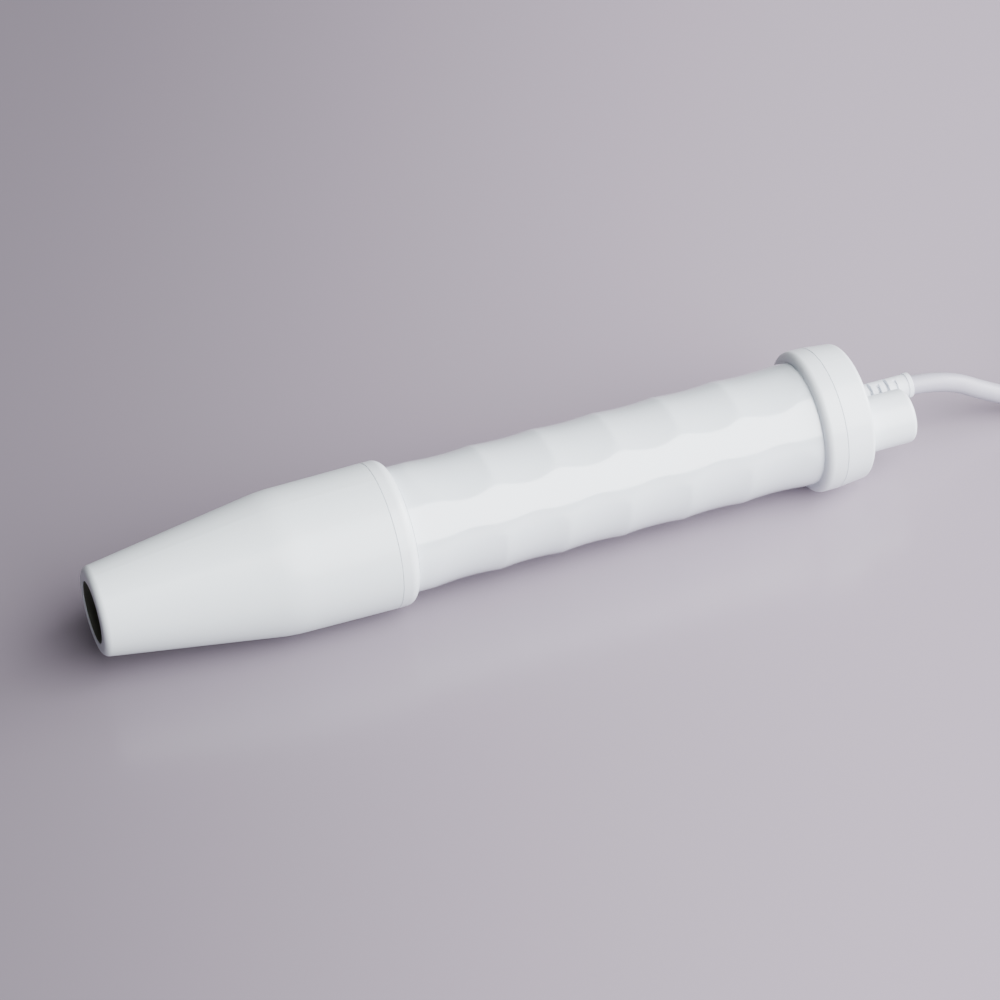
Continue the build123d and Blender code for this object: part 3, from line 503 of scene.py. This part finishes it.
class Wardrobe:
    """Makes each finish's material once, and hands it out."""

    def __init__(self) -> None:
        """Start with no material made."""
        self._made: dict[Finish, bpy.types.Material] = {}

    def get(self, finish: Finish) -> bpy.types.Material:
        """Material of a finish."""
        if finish not in self._made:
            self._made[finish] = finish.value.make()
        return self._made[finish]

    def dress(self, finish: Finish, *pieces: bpy.types.Object | str) -> None:
        """Give pieces a finish.

        Args:
            finish: The finish.
            pieces: Objects, or names of nodes of the frame.
        """
        for piece in pieces:
            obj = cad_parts[piece] if isinstance(piece, str) else piece
            obj.data.materials.clear()
            obj.data.materials.append(self.get(finish))
            log.info("%s is finished in %s", obj.name, finish.value.name)


# ---- modelling aids --------------------------------------------------------------------------------
def clear_selection() -> None:
    """Leave edit mode and deselect everything."""
    if bpy.context.mode != "OBJECT":
        bpy.ops.object.mode_set(mode="OBJECT")
    bpy.ops.object.select_all(action="DESELECT")


def take(obj: bpy.types.Object) -> None:
    """Select one object alone and make it active."""
    clear_selection()
    obj.select_set(True)
    bpy.context.view_layer.objects.active = obj


def settle(obj: bpy.types.Object) -> bpy.types.Object:
    """Apply an object's place, turn and scale, so that its place is in its mesh."""
    take(obj)
    bpy.ops.object.transform_apply(location=True, rotation=True, scale=True)
    return obj


def use_modifier(obj: bpy.types.Object, kind: str, **settings: Any) -> None:
    """Add a modifier and apply it.

    Args:
        obj: The piece.
        kind: The modifier's type.
        settings: Its properties.
    """
    take(obj)
    modifier = obj.modifiers.new(kind.title(), kind)
    for key, value in settings.items():
        setattr(modifier, key, value)
    bpy.ops.object.modifier_apply(modifier=modifier.name)


def smooth(obj: bpy.types.Object, degrees: float = 35.0) -> None:
    """Shade smooth, with edges sharper than the angle left crisp."""
    take(obj)
    bpy.ops.object.shade_smooth_by_angle(angle=math.radians(degrees))


def tidy_skin(obj: bpy.types.Object) -> None:
    """Merge doubled points and turn the faces outwards."""
    take(obj)
    bpy.ops.object.mode_set(mode="EDIT")
    bpy.ops.mesh.select_all(action="SELECT")
    bpy.ops.mesh.remove_doubles(threshold=1e-6)
    bpy.ops.mesh.normals_make_consistent(inside=False)
    bpy.ops.object.mode_set(mode="OBJECT")


def spun(
    name: str, outline: Sequence[tuple[float, float]], about: tuple[float, float], steps: int
) -> bpy.types.Object:
    """Spin an outline about a line along X.

    Args:
        name: The piece's name.
        outline: Pairs of x and radius, from end to end; a closed skin starts and ends on the axis.
        about: The line's y and z.
        steps: Facets round the axis.

    Returns:
        The piece.
    """
    clear_selection()
    bpy.ops.mesh.primitive_plane_add(size=1.0)
    obj = bpy.context.object
    obj.name = name
    shell = bmesh.new()
    points = [shell.verts.new((x, about[0], about[1] + radius)) for x, radius in outline]
    for first, second in zip(points, points[1:]):
        shell.edges.new((first, second))
    shell.to_mesh(obj.data)
    shell.free()
    bpy.ops.object.mode_set(mode="EDIT")
    bpy.ops.mesh.select_all(action="SELECT")
    bpy.ops.mesh.spin(
        steps=steps, angle=2 * math.pi, center=(0.0, about[0], about[1]), axis=(1.0, 0.0, 0.0)
    )
    bpy.ops.object.mode_set(mode="OBJECT")
    tidy_skin(obj)
    return obj


def rounded(
    corner: tuple[float, float], radius: float, start: float, end: float, count: int
) -> list[tuple[float, float]]:
    """Points of a round corner on an outline.

    Args:
        corner: Centre of the arc, as x and radius from the axis.
        radius: The arc's radius.
        start: First angle in degrees, from +X towards the outside.
        end: Last angle.
        count: Number of pieces.

    Returns:
        The arc's points.
    """
    turns = [math.radians(start + (end - start) * k / count) for k in range(count + 1)]
    return [(corner[0] + radius * math.cos(a), corner[1] + radius * math.sin(a)) for a in turns]


def ride(obj: bpy.types.Object, body: str, slot: str, *nodes: str) -> bpy.types.Object:
    """Fasten a piece to a body, and let it stand for CAD nodes.

    Args:
        obj: The piece.
        body: The body it moves with.
        slot: The record's material slot; not used.
        nodes: CAD nodes that it replaces.

    Returns:
        The piece.
    """
    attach(obj, body)
    if nodes:
        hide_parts(*nodes)
    log.info("%s rides on %s", obj.name, body)
    return obj


# ---- studio ----------------------------------------------------------------------------------------
@dataclass(frozen=True)
class Softbox:
    """A soft rectangular light that faces the wand: place, width and height, and power in watts."""

    name: str
    place: Point
    size: tuple[float, float]
    power: float
    colour: Colour = (1.0, 1.0, 1.0)


@dataclass
class Studio:
    """Camera, soft lights and the glossy pale floor, whose left-to-right gradient is painted light."""

    azimuth: float = -22.0
    elevation: float = 41.5
    distance: float = 1.07094
    lens: float = 129.6
    aim: Point = (0.0136, 0.0, AXIS_HEIGHT)
    shift: tuple[float, float] = (-0.06, -0.0128)
    floor_size: float = 9.0
    # Floor colours at the two ends of a painted light falloff: darker on the left, lighter on the right.
    floor_painted_shade_left: Colour = (0.150, 0.132, 0.160)
    floor_painted_light_right: Colour = (0.300, 0.258, 0.315)
    sky: Colour = (0.80, 0.78, 0.84)
    sky_strength: float = 0.10
    softboxes: tuple[Softbox, ...] = (
        Softbox("key_softbox", (0.8, -1.25, 1.3), (2.1, 2.3), 185.0),
        Softbox("right_softbox", (1.8, -0.1, 0.75), (1.1, 1.1), 75.0),
    )
    sensor: float = 36.0
    painted_light_way: tuple[float, float] = (0.93, -0.37)
    painted_light_ends: tuple[float, float] = (-0.2, 0.13)

    def add_camera(self) -> None:
        """Stand the camera at its azimuth and elevation round the aim point."""
        turn, rise = math.radians(self.azimuth), math.radians(self.elevation)
        back = Vector((math.sin(turn) * math.cos(rise), -math.cos(turn) * math.cos(rise), math.sin(rise)))
        clear_selection()
        bpy.ops.object.camera_add(location=Vector(self.aim) + self.distance * back)
        camera = bpy.context.object
        camera.name = "studio_camera"
        camera.rotation_euler = (-back).to_track_quat("-Z", "Y").to_euler()
        camera.data.lens = self.lens
        camera.data.sensor_width = self.sensor
        camera.data.shift_x, camera.data.shift_y = self.shift
        bpy.context.scene.camera = camera

    def add_softbox(self, box: Softbox) -> None:
        """Hang a softbox and turn it to face the wand.

        Args:
            box: The light to hang.
        """
        clear_selection()
        bpy.ops.object.light_add(type="AREA", location=box.place)
        lamp = bpy.context.object
        lamp.name = box.name
        lamp.rotation_euler = (Vector(box.place) - Vector(self.aim)).to_track_quat("Z", "Y").to_euler()
        lamp.data.shape = "RECTANGLE"
        lamp.data.size, lamp.data.size_y = box.size
        lamp.data.energy = box.power
        lamp.data.color = box.colour

    def add_floor(self) -> None:
        """Lay the floor, with painted light: its colour is darker on the left and lighter towards the
        right, like light from the right falling off across it.
        """
        clear_selection()
        bpy.ops.mesh.primitive_plane_add(size=self.floor_size)
        floor = bpy.context.object
        floor.name = "studio_floor"
        book = ShaderBook("floor_gloss_painted_light")
        # Painted light: the floor's colour blends from the darker left to the lighter right along this
        # direction, in place of light falling off from the right.
        painted_light_along = book.along("X") * self.painted_light_way[0] + book.along("Y") * self.painted_light_way[1]
        share = painted_light_along.stepped(*self.painted_light_ends)
        book.set(
            Base__Color=book.blend(share, self.floor_painted_shade_left, self.floor_painted_light_right),
            Roughness=0.22 + book.noise(30.0, 3.0) * 0.03,
            IOR=1.42,
        )
        floor.data.materials.append(book.material)

    def build(self) -> None:
        """Set up the whole studio."""
        self.add_camera()
        world = bpy.data.worlds.new("studio_air")
        world.use_nodes = True
        background = world.node_tree.nodes["Background"]
        background.inputs["Color"].default_value = (*self.sky, 1.0)
        background.inputs["Strength"].default_value = self.sky_strength
        bpy.context.scene.world = world
        for box in self.softboxes:
            self.add_softbox(box)
        self.add_floor()
        log.info("studio is lit")


# ---- lead ------------------------------------------------------------------------------------------
@dataclass
class Lead:
    """Lead from the strain relief to its plug, with the hank that its unused length is put away in."""

    wardrobe: Wardrobe
    diameter: float = 0.006
    outlet: float = 0.1309
    outlet_y: float = 0.0039
    start_depth: float = 0.0076
    centre: tuple[float, float] = (0.2749, 0.004)
    half_run: float = 0.045
    outer_fold: float = 0.024
    inner_fold: float = 0.018
    lowest: float = 0.0039
    layer: float = 0.00602
    bend_points: int = 9
    far_height: float = 0.007
    jacket_in_boot: float = 0.0055
    length: float = 1.58
    strap_thickness: float = 0.0009
    strap_corner_facets: int = 8
    tab_height: float = 0.009
    tab_rise: float = 0.002
    tab_rounding: float = 0.0003
    boot_ribs: int = 5
    boot_groove: float = 0.00045
    boot_rounding: float = 0.0004
    boot_play: float = 0.00002
    boot_wall: float = 0.0012
    boot_facets: int = 64

    def run(self, side: int, fold: float, height: float) -> list[Point]:
        """Two points of a straight run, just inside its ends.

        Args:
            side: -1 for the run towards +X on the -Y side, 1 for the way back.
            fold: Radius of the fold that the run joins.
            height: Height of the run.

        Returns:
            The points, in the direction of the run.
        """
        reach = self.half_run - fold * math.tan(math.pi / (2 * self.bend_points))
        ends = (-reach, reach) if side < 0 else (reach, -reach)
        return [(self.centre[0] + x, self.centre[1] + side * fold, height) for x in ends]

    def fold(self, end: int, folds: tuple[float, float], heights: tuple[float, float]) -> list[Point]:
        """Points round one end of the hank.

        Args:
            end: 1 for the +X end, -1 for the end nearest the wand.
            folds: Radius at the start and at the finish.
            heights: Height at the start and at the finish.

        Returns:
            Control points, which stand a little outside the bend that the spline makes.
        """
        points = []
        for k in range(self.bend_points):
            share = (k + 0.5) / self.bend_points
            angle = math.pi * (share - 0.5) + (0.0 if end > 0 else math.pi)
            radius = folds[0] + (folds[1] - folds[0]) * share
            radius /= math.cos(math.pi / (2 * self.bend_points))
            height = heights[0] + (heights[1] - heights[0]) * share
            across = (radius * math.cos(angle), radius * math.sin(angle))
            middle = self.centre[0] + end * self.half_run
            points.append((middle + across[0], self.centre[1] + across[1], height))
        return points

    def route(self) -> list[Point]:
        """Every point of the lead, from inside the strain relief to inside the plug's boot."""
        out, top = self.outlet, AXIS_HEIGHT
        low, middle, high = (self.lowest + k * self.layer for k in range(3))
        wide, slim = self.outer_fold, self.inner_fold
        lead_in: list[Point] = [
            (out - self.start_depth, self.outlet_y, top),
            (out + 0.010, self.outlet_y, top),
            (out + 0.030, self.outlet_y, 0.0090),
            (out + 0.048, -0.0020, 0.0042),
            (out + 0.072, -0.0151, self.lowest),
        ]
        laps = [
            (wide, wide, wide, low, middle),
            (wide, wide, wide, middle, high),
            (wide, slim, slim, high, middle),
            (slim, slim, slim, middle, low),
        ]
        turns: list[Point] = []
        for near, far, back, height, after in laps:
            turns += self.run(-1, near, height)
            turns += self.fold(1, (near, far), (height, height))
            turns += self.run(1, back, height)
            turns += self.fold(-1, (back, back), (height, after))
        turns += self.run(-1, slim, low)
        turns += self.fold(1, (slim, slim), (low, low))
        boot = self.centre[0] - 0.006
        y = self.centre[1]
        tail: list[Point] = [
            (boot + 0.030, y + 0.0146, self.lowest + 0.0003),
            (boot + 0.0155, y + 0.0036, 0.006),
            (boot + 0.005, y, self.far_height),
            (boot - self.jacket_in_boot, y, self.far_height),
        ]
        return lead_in + turns + tail

    def add_cord(self) -> bpy.types.Object:
        """Make the lead itself as one smooth spline with a round bevel."""
        clear_selection()
        points = self.route()
        curve = bpy.data.curves.new("lead", "CURVE")
        curve.dimensions = "3D"
        curve.resolution_u = 10
        curve.bevel_depth = self.diameter / 2
        curve.bevel_resolution = 6
        curve.use_fill_caps = True
        spline = curve.splines.new("NURBS")
        spline.points.add(len(points) - 1)
        for knot, place in zip(spline.points, points):
            knot.co = (*place, 1.0)
        spline.order_u = 3
        spline.use_endpoint_u = True
        cord = bpy.data.objects.new("lead", curve)
        bpy.context.collection.objects.link(cord)
        self.wardrobe.dress(Finish.JACKET, cord)
        ride(cord, "handpiece", "cord_jacket", "cord", "cord_hank", "cord_tail")
        return cord

    def build(self) -> None:
        cord = self.add_cord()
        straps = [self.add_strap(side) for side in (-1, 1)]
        boot = self.add_boot()
        self.wardrobe.dress(Finish.PLUG_PLASTIC, "plug_body", "plug_insert")
        self.wardrobe.dress(Finish.NICKEL, "plug_shell")
        self.wardrobe.dress(Finish.GOLD, "plug_pins")

    def add_strap(self, side: int) -> bpy.types.Object:
        """Wrap a strap round the runs on one side of the hank.

        Args:
            side: -1 for the -Y side, 1 for the +Y side.

        Returns:
            The strap.
        """
        low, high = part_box("hank_ties")
        thickness = self.strap_thickness
        width = high.x - low.x
        wide = 2 * self.diameter + 2 * thickness
        middle = self.centre[1] + side * (self.outer_fold + self.inner_fold) / 2
        clear_selection()
        place = ((low.x + high.x) / 2, middle, (low.z + high.z) / 2)
        bpy.ops.mesh.primitive_cube_add(size=1.0, location=place, scale=(width, wide, high.z - low.z))
        strap = settle(bpy.context.object)
        strap.name = "hank_strap_near" if side < 0 else "hank_strap_far"
        bpy.ops.object.mode_set(mode="EDIT")
        shape = bmesh.from_edit_mesh(strap.data)
        for face in shape.faces:
            face.select = abs(face.normal.x) > 0.9
        bmesh.update_edit_mesh(strap.data)
        bpy.ops.mesh.delete(type="FACE")
        shape = bmesh.from_edit_mesh(strap.data)
        for edge in shape.edges:
            edge.select = abs((edge.verts[0].co - edge.verts[1].co).x) > width / 2
        bmesh.update_edit_mesh(strap.data)
        bpy.ops.mesh.bevel(offset=self.diameter / 2 + thickness, segments=self.strap_corner_facets)
        bpy.ops.object.mode_set(mode="OBJECT")
        use_modifier(strap, "SOLIDIFY", thickness=thickness, offset=-1.0)
        self.add_strap_end(strap, place, wide)
        smooth(strap)
        self.wardrobe.dress(Finish.STRAP, strap)
        return ride(strap, "handpiece", "tie_fabric", "hank_ties")

    def add_strap_end(self, strap: bpy.types.Object, place: Point, wide: float) -> None:
        """Join a pull tab to a strap, pressed flat on its inner side.

        Args:
            strap: The strap.
            place: The strap's middle.
            wide: The strap's outside width across the runs.
        """
        inward = 1 if place[1] < self.centre[1] else -1
        low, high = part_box("hank_ties")
        thickness = self.strap_thickness
        aside = inward * (wide / 2 + thickness * 0.4)
        tab_place = (place[0], place[1] + aside, place[2] + self.tab_rise)
        tab_size = ((high.x - low.x) * 0.92, thickness * 0.8, self.tab_height)
        clear_selection()
        bpy.ops.mesh.primitive_cube_add(size=1.0, location=tab_place, scale=tab_size)
        tab = settle(bpy.context.object)
        use_modifier(tab, "BEVEL", width=self.tab_rounding, segments=3)
        take(strap)
        tab.select_set(True)
        bpy.ops.object.join()

    def add_boot(self) -> bpy.types.Object:
        """Make the plug's boot, tapered and ribbed for a finger and thumb."""
        low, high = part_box("plug_boot")
        about = ((low.y + high.y) / 2, (low.z + high.z) / 2)
        bore = self.diameter / 2 + self.boot_play
        thick, slim = (high.z - low.z) / 2, self.diameter / 2 + self.boot_wall
        corner = (high.x - self.boot_rounding, slim - self.boot_rounding)
        outline = [(high.x, bore)]
        outline += rounded(corner, self.boot_rounding, 0.0, 90.0, 4)
        first_rib = high.x - 0.001
        ribbed = high.x - low.x - 0.004
        groove = self.boot_groove
        for rib in range(self.boot_ribs):
            for share, depth in ((0.12, 0.0), (0.22, groove), (0.5, groove), (0.6, 0.0)):
                along = (rib + share) / self.boot_ribs
                radius = slim + (thick - slim) * along - depth
                outline.append((first_rib - ribbed * along, radius))
        inside = high.x - self.jacket_in_boot
        outline += [(low.x + self.boot_wall, thick), (low.x, thick)]
        outline += [(low.x, 0.0), (inside, 0.0), (inside, bore), (high.x, bore)]
        boot = spun("plug_boot_ribbed", outline, about, self.boot_facets)
        smooth(boot, 30.0)
        self.wardrobe.dress(Finish.PLUG_PLASTIC, boot)
        return ride(boot, "handpiece", "plug_plastic", "plug_boot")


# ---- grip ------------------------------------------------------------------------------------------
@dataclass
class Grip:
    """Grip tube with three rows of shallow scoops whose ridges are softly rounded.

    Softness is the width of that rounding. A scoop reaches only places that face it enough, and
    that lie within a multiple of its own run.
    """

    wardrobe: Wardrobe
    radius: float = 0.019
    wall: float = 0.0034
    rows: int = 3
    scoops: int = 6
    pitch: float = 0.0196
    depth: float = 0.00096
    reach: float = 47.8
    run: float = 0.013
    first_scoop: float = 0.0177
    row_angle: float = 79.4
    least_facing: float = 0.4
    farthest: float = 1.3
    softness: float = 0.00005
    ring_gap: float = 0.000075
    crease: float = 50.0
    stations: int = 190
    facets: int = 200

    def cutter(self) -> tuple[float, float]:
        """Radius of a scoop's floor across the grip, and how far its centre lies off the axis."""
        spread = math.radians(self.reach)
        half_chord = self.radius * math.sin(spread)
        rise = self.radius * (1 - math.cos(spread)) - self.depth
        floor = (half_chord**2 + rise**2) / (2 * rise)
        return floor, floor - (self.radius - self.depth)

    def surface(self, x: float, angle: float, start: float) -> float:
        """Radius of the grip at a place.

        Args:
            x: Distance along the wand.
            angle: Direction round the grip, from +Y towards +Z, in radians.
            start: Rear face of the coupling ring.

        Returns:
            The radius, blended softly from every scoop near the place.
        """
        floor, shift = self.cutter()
        total = 1.0
        for row in range(self.rows):
            off = angle - math.radians(self.row_angle + row * 360.0 / self.rows)
            facing = math.cos(off)
            if facing < self.least_facing:
                continue
            for scoop in range(self.scoops):
                away = x - start - self.first_scoop - scoop * self.pitch
                if abs(away) > self.farthest * self.run:
                    continue
                cut = floor + self.depth * (away / self.run) ** 2
                near = math.sqrt(cut**2 - (shift * math.sin(off)) ** 2) - shift * facing
                total += math.exp((self.radius - near) / self.softness)
        return self.radius - self.softness * math.log(total)

    def build(self) -> None:
        """Wrap a fine grid into the grip's skin and give it its wall."""
        low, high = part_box("grip_shell")
        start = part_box("coupling_ring")[1].x + self.ring_gap
        clear_selection()
        bpy.ops.mesh.primitive_grid_add(x_subdivisions=self.stations, y_subdivisions=self.facets, size=1.0)
        grip = bpy.context.object
        grip.name = "grip_scooped"
        for vertex in grip.data.vertices:
            x = low.x + (vertex.co.x + 0.5) * (high.x - low.x)
            angle = 2 * math.pi * (vertex.co.y + 0.5)
            radius = self.surface(x, angle, start)
            vertex.co = (x, radius * math.cos(angle), AXIS_HEIGHT + radius * math.sin(angle))
        tidy_skin(grip)
        self.close_ends(grip, low.x, high.x)
        smooth(grip, self.crease)
        self.wardrobe.dress(Finish.GRIP, grip)
        ride(grip, "handpiece", "grip_white", "grip_shell")

    def close_ends(self, grip: bpy.types.Object, start: float, end: float) -> None:
        """Carry the skin through the bore, so that the tube has its wall.

        Args:
            grip: The outer skin.
            start: Front end.
            end: Rear end.
        """
        bore = self.radius - self.wall
        take(grip)
        bpy.ops.object.mode_set(mode="EDIT")
        for place in (start, end):
            shape = bmesh.from_edit_mesh(grip.data)
            for edge in shape.edges:
                edge.select = edge.is_boundary and all(abs(v.co.x - place) < 1e-6 for v in edge.verts)
            bmesh.update_edit_mesh(grip.data)
            bpy.ops.mesh.extrude_edges_move()
            shape = bmesh.from_edit_mesh(grip.data)
            for vertex in (v for v in shape.verts if v.select):
                out = Vector((0.0, vertex.co.y, vertex.co.z - AXIS_HEIGHT)).normalized() * bore
                vertex.co = (place, out.y, out.z + AXIS_HEIGHT)
            bmesh.update_edit_mesh(grip.data)
        shape = bmesh.from_edit_mesh(grip.data)
        for edge in shape.edges:
            edge.select = edge.is_boundary
        bmesh.update_edit_mesh(grip.data)
        bpy.ops.mesh.bridge_edge_loops()
        bpy.ops.mesh.select_all(action="SELECT")
        bpy.ops.mesh.normals_make_consistent(inside=False)
        bpy.ops.object.mode_set(mode="OBJECT")


# ---- carried-over sub-assemblies -------------------------------------------------------------------
@dataclass
class Nose:
    """Nose cone with its lined mouth, and the ring that couples it to the grip; the liner's dark olive
    colour is painted shade for the shaded bore of the mouth.
    """

    wardrobe: Wardrobe

    def build(self) -> None:
        """Dress the nose and the coupling ring."""
        self.wardrobe.dress(Finish.SHELL, "nose_cone")
        # The liner's dark olive finish is painted shade inside the mouth.
        self.wardrobe.dress(Finish.LINER, "nose_liner")
        self.wardrobe.dress(Finish.COLLAR, "coupling_ring")


@dataclass
class RearEnd:
    """Rear ring and cap, the intensity control, and the strain relief."""

    wardrobe: Wardrobe

    def build(self) -> None:
        """Dress the rear pieces."""
        dress = self.wardrobe.dress
        dress(Finish.COLLAR, "rear_ring", "rear_cap")
        dress(Finish.KNOB, "intensity_knob")
        dress(Finish.RELIEF, "strain_relief")
        dress(Finish.STEEL, "cap_screws", "pot_washer", "pot_nut", "pot_shaft", "knob_grub_screw")
        dress(Finish.STEEL, "cord_ferrule")
        dress(Finish.TERMINAL, "level_pot")
        dress(Finish.SEAL, "cap_gasket")


@dataclass
class Transducer:
    """Horn, piezo stack and the carrier that holds them."""

    wardrobe: Wardrobe
    rings: int = 4

    def build(self) -> None:
        """Dress the transducer."""
        dress = self.wardrobe.dress
        dress(Finish.TITANIUM, "horn")
        dress(Finish.STEEL, "back_mass", "prestress_bolt")
        dress(Finish.BLACK_PLASTIC, "transducer_carrier", "horn_clamp_ring", "insulating_sleeve")
        dress(Finish.SEAL, "nose_seal_ring", "horn_front_seal", "horn_rear_seal")
        for number in range(1, self.rings + 1):
            dress(Finish.PIEZO, f"piezo_ring_{number}")
            dress(Finish.BRASS, f"electrode_{number}")


@dataclass
class Electronics:
    """Chassis, driver board and everything soldered on it."""

    wardrobe: Wardrobe

    def build(self) -> None:
        """Dress the electronics."""
        dress = self.wardrobe.dress
        dress(Finish.BLACK_PLASTIC, "chassis")
        dress(Finish.LAMINATE, "driver_board")
        dress(Finish.STEEL, "board_screws")
        dress(Finish.TERMINAL, "lead_header", "cord_header")
        dress(Finish.FERRITE, "transformer_core")
        dress(Finish.TAPE, "transformer_winding")
        dress(Finish.ALUMINIUM, "heatsink")
        dress(Finish.COMPONENT, "output_transistor_1", "output_transistor_2", "control_chip")
        dress(Finish.CAN_SLEEVE, "filter_capacitor_1", "filter_capacitor_2")
        dress(Finish.INSULATION, "transducer_leads", "pot_ribbon", "inner_lead")


def main() -> None:
    """Build the studio, then each sub-assembly in turn."""
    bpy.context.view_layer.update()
    wardrobe = Wardrobe()
    Studio().build()
    for part in (Lead, Grip, Nose, RearEnd, Transducer, Electronics):
        part(wardrobe).build()
    clear_selection()


if __name__ == "__main__":
    main()
